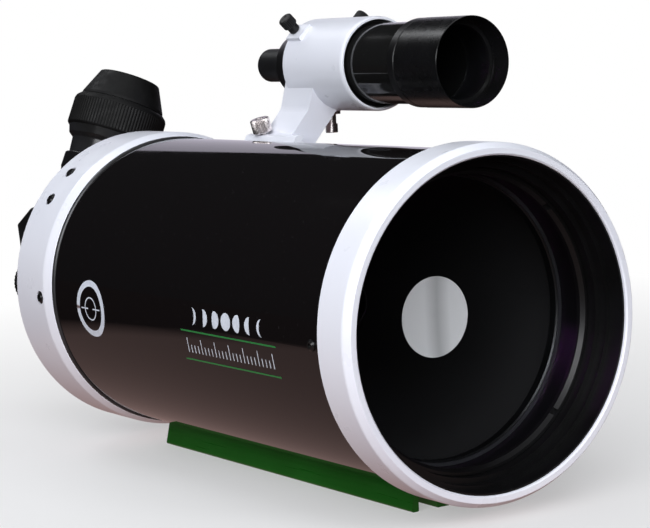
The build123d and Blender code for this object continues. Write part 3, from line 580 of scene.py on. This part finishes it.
def plunger_spring():
    """Coil spring under the finder, drawn at one fixed length to fill the CAD spring's box."""
    low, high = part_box("plunger_spring")
    wire = WIRE_RADIUS * MM
    radius = (high[0] - low[0]) / 2 - wire
    middle = Vector(((low[0] + high[0]) / 2, (low[1] + high[1]) / 2, 0))
    bottom, top = low[2] + wire, high[2] - wire
    count = SPRING_TURNS * SPRING_STEPS
    shape = bmesh.new()
    rows = []
    for index in range(count + 1):
        turn = 2 * pi * index / SPRING_STEPS
        outward = Vector((cos(turn), sin(turn), 0))
        height = bottom + (top - bottom) * index / count
        row = []
        for step in range(WIRE_STEPS):
            around = 2 * pi * step / WIRE_STEPS
            spot = middle + outward * (radius + wire * cos(around))
            row.append(shape.verts.new(spot + UP * (height + wire * sin(around))))
        rows.append(row)
    for before, after in zip(rows, rows[1:]):
        for step in range(WIRE_STEPS):
            following = (step + 1) % WIRE_STEPS
            shape.faces.new((before[step], before[following], after[following], after[step]))
    shape.faces.new(rows[0])
    shape.faces.new(rows[-1])
    bmesh.ops.recalc_face_normals(shape, faces=shape.faces)
    piece = finish_mesh("coil_spring", shape)
    dress(piece, "bracket", "steel", "spring_steel", "plunger_spring")
    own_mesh(piece)


SPOT_THICKNESS = 0.25
SPOT_GAP = 0.03
SPOT_STEPS = 8


def spot_disc():
    """Smooth aluminised disc that follows the back of the corrector."""
    low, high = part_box("secondary_spot")
    radius = (high[0] - low[0]) / 2 / MM
    rim = (low[1] - LIP_Y) / MM + SPOT_GAP
    crown = (high[1] - LIP_Y) / MM - SPOT_THICKNESS
    face = []
    for step in range(SPOT_STEPS + 1):
        share = step / SPOT_STEPS
        face.append((radius * share, crown - (crown - rim) * share**2))
    back = [(across, height + SPOT_THICKNESS) for across, height in reversed(face)]
    piece = lathe("aluminised_spot", frame_along(at(0, 0, 0), REARWARD), face + back)
    dress(piece, "tube", "spot", "spot_silver", "secondary_spot")


# ---------------------------------------------------------------- worn edges of the CAD pieces
BEVELS = {"finder_bracket": 0.5, "finder_shoe": 0.4, "front_ring": 0.4, "rear_cell": 0.4,
          "corrector_cell": 0.25, "corrector_retainer": 0.25, "corrector_shim": 0.1,
          "dovetail_bar": 0.25, "finder_tube": 0.2, "finder_dew_shield": 0.25,
          "finder_lock_ring": 0.25, "finder_cell": 0.25, "finder_rear_cone": 0.3,
          "finder_eyepiece": 0.3, "diagonal_body": 0.4, "diagonal_cover": 0.3,
          "diagonal_nose": 0.15, "visual_back": 0.3, "eyepiece_collar": 0.3,
          "eyepiece_body": 0.25, "eyecup": 0.4, "knob_core": 0.2, "focus_bushing": 0.2,
          "rear_trim_ring": 0.2, "plunger_housing": 0.15}
BEVEL_ANGLE = radians(35)


def soften_edges():
    """Small rounded edges, as machining, casting and paint leave them."""
    for node, width in BEVELS.items():
        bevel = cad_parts[node].modifiers.new("worn_edges", "BEVEL")
        bevel.width = width * MM
        bevel.segments = 2
        bevel.limit_method = "ANGLE"
        bevel.angle_limit = BEVEL_ANGLE


# ---------------------------------------------------------------- printed marks, in millimetres
MARK_LIFT = 0.04
MARK_THICKNESS = 0.05
LIMB_TRIM = 0.999


def on_tube(depth, arc, lift):
    """Point on the tube's left side: a depth, and an arc length in millimetres above level."""
    angle = -90 + degrees(arc / (TUBE_RADIUS / MM))
    return at(0, depth, 0) + radial(angle) * (TUBE_RADIUS + lift * MM)


def mark(name, strips, look, slot):
    """Thin print on the tube from strips of (depth, arc) pairs across each strip."""
    shape = bmesh.new()
    for strip in strips:
        sides = [[shape.verts.new(on_tube(*spot, lift)) for spot in pair]
                 for pair in strip for lift in (MARK_LIFT, MARK_LIFT + MARK_THICKNESS)]
        low, high = sides[0::2], sides[1::2]
        for index in range(len(strip) - 1):
            under, next_under = low[index], low[index + 1]
            over, next_over = high[index], high[index + 1]
            shape.faces.new((over[0], over[1], next_over[1], next_over[0]))
            shape.faces.new((under[0], next_under[0], next_under[1], under[1]))
            shape.faces.new((under[0], over[0], next_over[0], next_under[0]))
            shape.faces.new((under[1], next_under[1], next_over[1], over[1]))
        for end in (0, -1):
            shape.faces.new((low[end][0], low[end][1], high[end][1], high[end][0]))
    bmesh.ops.remove_doubles(shape, verts=shape.verts, dist=WELD)
    bmesh.ops.recalc_face_normals(shape, faces=shape.faces)
    piece = finish_mesh(name, shape)
    dress(piece, "tube", look, slot)


def circle_strip(depth, arc, inner, outer, steps=64):
    """Strip round a circle on the tube, from an inner to an outer radius."""
    strip = []
    for index in range(steps + 1):
        turn = radians(360 * index / steps)
        strip.append([(depth + radius * cos(turn), arc + radius * sin(turn))
                      for radius in (inner, outer)])
    return strip


def moon_strip(depth, arc, radius, phase, steps=32):
    """Lit part of a moon: phase -1 to 1 moves the shadow's edge from one limb to the other."""
    strip = []
    for index in range(steps + 1):
        rise = radius * cos(pi * index / steps) * LIMB_TRIM
        limb = sqrt(radius**2 - rise**2)
        strip.append([(depth - limb, arc + rise), (depth + limb * phase, arc + rise)])
    return strip


BADGE = (280.2, -4.8)
BADGE_RINGS = ((13.6, 17.4), (6.4, 7.2))
BADGE_BARS = ((-11.5, -3), (3, 11.5))
BAR_HALF_WIDTH = 0.4


def badge():
    """Two rings, one inside the other, and a bar through the inner one on each side."""
    depth, arc = BADGE
    rings = [circle_strip(depth, arc, inner, outer) for inner, outer in BADGE_RINGS]
    bars = [[[(depth + along, arc + rise) for rise in (-BAR_HALF_WIDTH, BAR_HALF_WIDTH)]
             for along in span] for span in BADGE_BARS]
    mark("ring_badge", rings + bars, "print_white", "white_paint")


# shadow's edge and lit side of each moon
MOONS = ((-0.55, 1), (-0.1, 1), (0.45, 1), (0.999, 1), (0.45, -1), (-0.1, -1), (-0.55, -1))
MOON_DEPTH = 158.5
MOON_SPACING = 12.2
MOON_ARC = 1.8
MOON_RADIUS = 4.9


def moon_phases():
    """Row of moons that wax and wane."""
    moons = []
    for index, (phase, side) in enumerate(MOONS):
        depth = MOON_DEPTH - index * MOON_SPACING
        strip = moon_strip(0, MOON_ARC, MOON_RADIUS, phase)
        moons.append([[(depth + side * x, y) for x, y in pair] for pair in strip])
    mark("moon_phases", moons, "print_white", "white_paint")


LINE_ENDS = (171.5, 72.5)
LINE_ARCS = (-6.9, -23.8)
LINE_HALF_WIDTH = 0.45


def green_lines():
    """Two lines along the tube."""
    lines = [[[(depth, arc - LINE_HALF_WIDTH), (depth, arc + LINE_HALF_WIDTH)] for depth in LINE_ENDS]
             for arc in LINE_ARCS]
    mark("green_lines", lines, "print_green", "green_anodised")


TICKS = 25
TICKS_PER_LONG = 4
TICK_DEPTH = 166
TICK_SPACING = 3.7
TICK_ARC = -19.5
TICK_HALF_WIDTH = 0.3
LONG_TICK = 8.5
SHORT_TICK = 4.5


def tick_scale():
    """Scale of plain strokes between the green lines."""
    ticks = []
    for index in range(TICKS):
        depth = TICK_DEPTH - index * TICK_SPACING
        reach = LONG_TICK if index % TICKS_PER_LONG == 0 else SHORT_TICK
        ticks.append([[(depth - TICK_HALF_WIDTH, arc), (depth + TICK_HALF_WIDTH, arc)]
                      for arc in (TICK_ARC, TICK_ARC + reach)])
    mark("tick_scale", ticks, "print_white", "white_paint")


thumbscrews()
clamp_screw()
adjusters()
focus_grip()
eyepiece_grip()
plunger_spring()
spot_disc()
soften_edges()
badge()
moon_phases()
green_lines()
tick_scale()

# ---------------------------------------------------------------- stage
DIM_ROOM = 0.014
FLOOR_HALF_SIZE = 6
FLOOR_PALE = 0.35
FLOOR_WHITENS = (0.1, 0.9)
GLOW_COLOR = (0.30, 0.20, 0.185, 1)
GLOW_FAR = 0.05
GLOW_FADES = (0.36, 0.48)


def floor_material():
    """Pale floor that whitens away from the object, and that reflections see as a warm grey glow."""
    shade = Shade("floor", (0.80, 0.80, 0.81), 0.6)
    shade.rough(shade.ramp(shade.noise(6, 3), 0.5, 0.7))
    nodes, links = shade.nodes, shade.links
    far = shade.add("ShaderNodeVectorMath", operation="LENGTH")
    shade.join(shade.place, far, 0)
    whiter = shade.ramp(far.outputs["Value"], FLOOR_PALE, 1, *FLOOR_WHITENS)
    glow = nodes.new("ShaderNodeEmission")
    pale = nodes.new("ShaderNodeMixShader")
    links.new(whiter, pale.inputs["Fac"])
    links.new(shade.shader.outputs["BSDF"], pale.inputs[1])
    links.new(glow.outputs["Emission"], pale.inputs[2])
    warm = nodes.new("ShaderNodeEmission")
    warm.inputs["Color"].default_value = GLOW_COLOR
    near = shade.ramp(far.outputs["Value"], 1, GLOW_FAR, *GLOW_FADES)
    links.new(near, warm.inputs["Strength"])
    seen = nodes.new("ShaderNodeLightPath")
    blend = nodes.new("ShaderNodeMixShader")
    links.new(seen.outputs["Is Camera Ray"], blend.inputs["Fac"])
    links.new(warm.outputs["Emission"], blend.inputs[1])
    links.new(pale.outputs["Shader"], blend.inputs[2])
    links.new(blend.outputs["Shader"], nodes["Material Output"].inputs["Surface"])
    return shade.material


def stage():
    """Pale floor, and a surround that the camera sees as white and reflections see as a dim room."""
    mesh = bpy.data.meshes.new("floor")
    shape = bmesh.new()
    bmesh.ops.create_grid(shape, x_segments=2, y_segments=2, size=FLOOR_HALF_SIZE)
    shape.to_mesh(mesh)
    shape.free()
    floor = bpy.data.objects.new("floor", mesh)
    bpy.context.collection.objects.link(floor)
    floor.data.materials.append(floor_material())
    world = bpy.data.worlds.new("studio")
    bpy.context.scene.world = world
    world.use_nodes = True
    nodes, links = world.node_tree.nodes, world.node_tree.links
    seen = nodes.new("ShaderNodeLightPath")
    blend = nodes.new("ShaderNodeMixShader")
    white = nodes.new("ShaderNodeBackground")
    white.inputs["Color"].default_value = (1, 1, 1, 1)
    dim = nodes["Background"]
    dim.inputs["Color"].default_value = (0.9, 0.93, 1, 1)
    dim.inputs["Strength"].default_value = DIM_ROOM
    links.new(seen.outputs["Is Camera Ray"], blend.inputs["Fac"])
    links.new(dim.outputs["Background"], blend.inputs[1])
    links.new(white.outputs["Background"], blend.inputs[2])
    links.new(blend.outputs["Shader"], nodes["World Output"].inputs["Surface"])


TARGET = at(0, 180, 0)
COOL = (0.96, 0.975, 1)
VIOLET = (0.9, 0.85, 1)
# name, place and size in metres, power in watts, colour
LAMPS = (("front", (-1.5, -2.0, 1.3), (1.8, 1.8), 68, COOL),
         ("top", (0.0, 0.1, 2.0), (1.8, 1.8), 11, COOL),
         ("rear", (-0.6, 2.2, 2.6), (1.0, 1.0), 19, COOL),
         ("left", (-2.0, -0.8, 0.9), (1.0, 1.0), 19, COOL),
         ("window", (0.25, -2.5, 1.15), (0.5, 0.4), 9, COOL),
         ("behind", (1.5, 2.1, 0.62), (2.2, 1.0), 5, VIOLET))


def area_light(name, place, size, power, color):
    """Soft rectangular light that faces the tube, which the camera doesn't see."""
    data = bpy.data.lights.new(name, "AREA")
    data.shape = "RECTANGLE"
    data.size, data.size_y = size
    data.energy = power
    data.color = color
    lamp = bpy.data.objects.new(name, data)
    lamp.visible_camera = False
    turn = (TARGET - Vector(place)).to_track_quat("-Z", "Y").to_matrix().to_4x4()
    lamp.matrix_world = Matrix.Translation(place) @ turn
    bpy.context.collection.objects.link(lamp)


CAMERA_PLACE = (-0.66612, -1.03385, 0.26388)
CAMERA_AZIMUTH = 33.531
CAMERA_ELEVATION = -6.547
CAMERA_ROLL = -2.735
CAMERA_LENS = 116.3
SENSOR_WIDTH = 36
CLIP_START = 0.01


def camera():
    """Camera at the photo's viewing angle, a little rolled."""
    data = bpy.data.cameras.new("camera")
    data.sensor_width = SENSOR_WIDTH
    data.lens = CAMERA_LENS
    data.clip_start = CLIP_START
    piece = bpy.data.objects.new("camera", data)
    turn = (Matrix.Rotation(-radians(CAMERA_AZIMUTH), 4, "Z")
            @ Matrix.Rotation(radians(90 + CAMERA_ELEVATION), 4, "X")
            @ Matrix.Rotation(radians(CAMERA_ROLL), 4, "Z"))
    piece.matrix_world = Matrix.Translation(CAMERA_PLACE) @ turn
    bpy.context.collection.objects.link(piece)
    bpy.context.scene.camera = piece


stage()
camera()
for lamp in LAMPS:
    area_light(*lamp)
bpy.context.scene.view_settings.view_transform = "Standard"
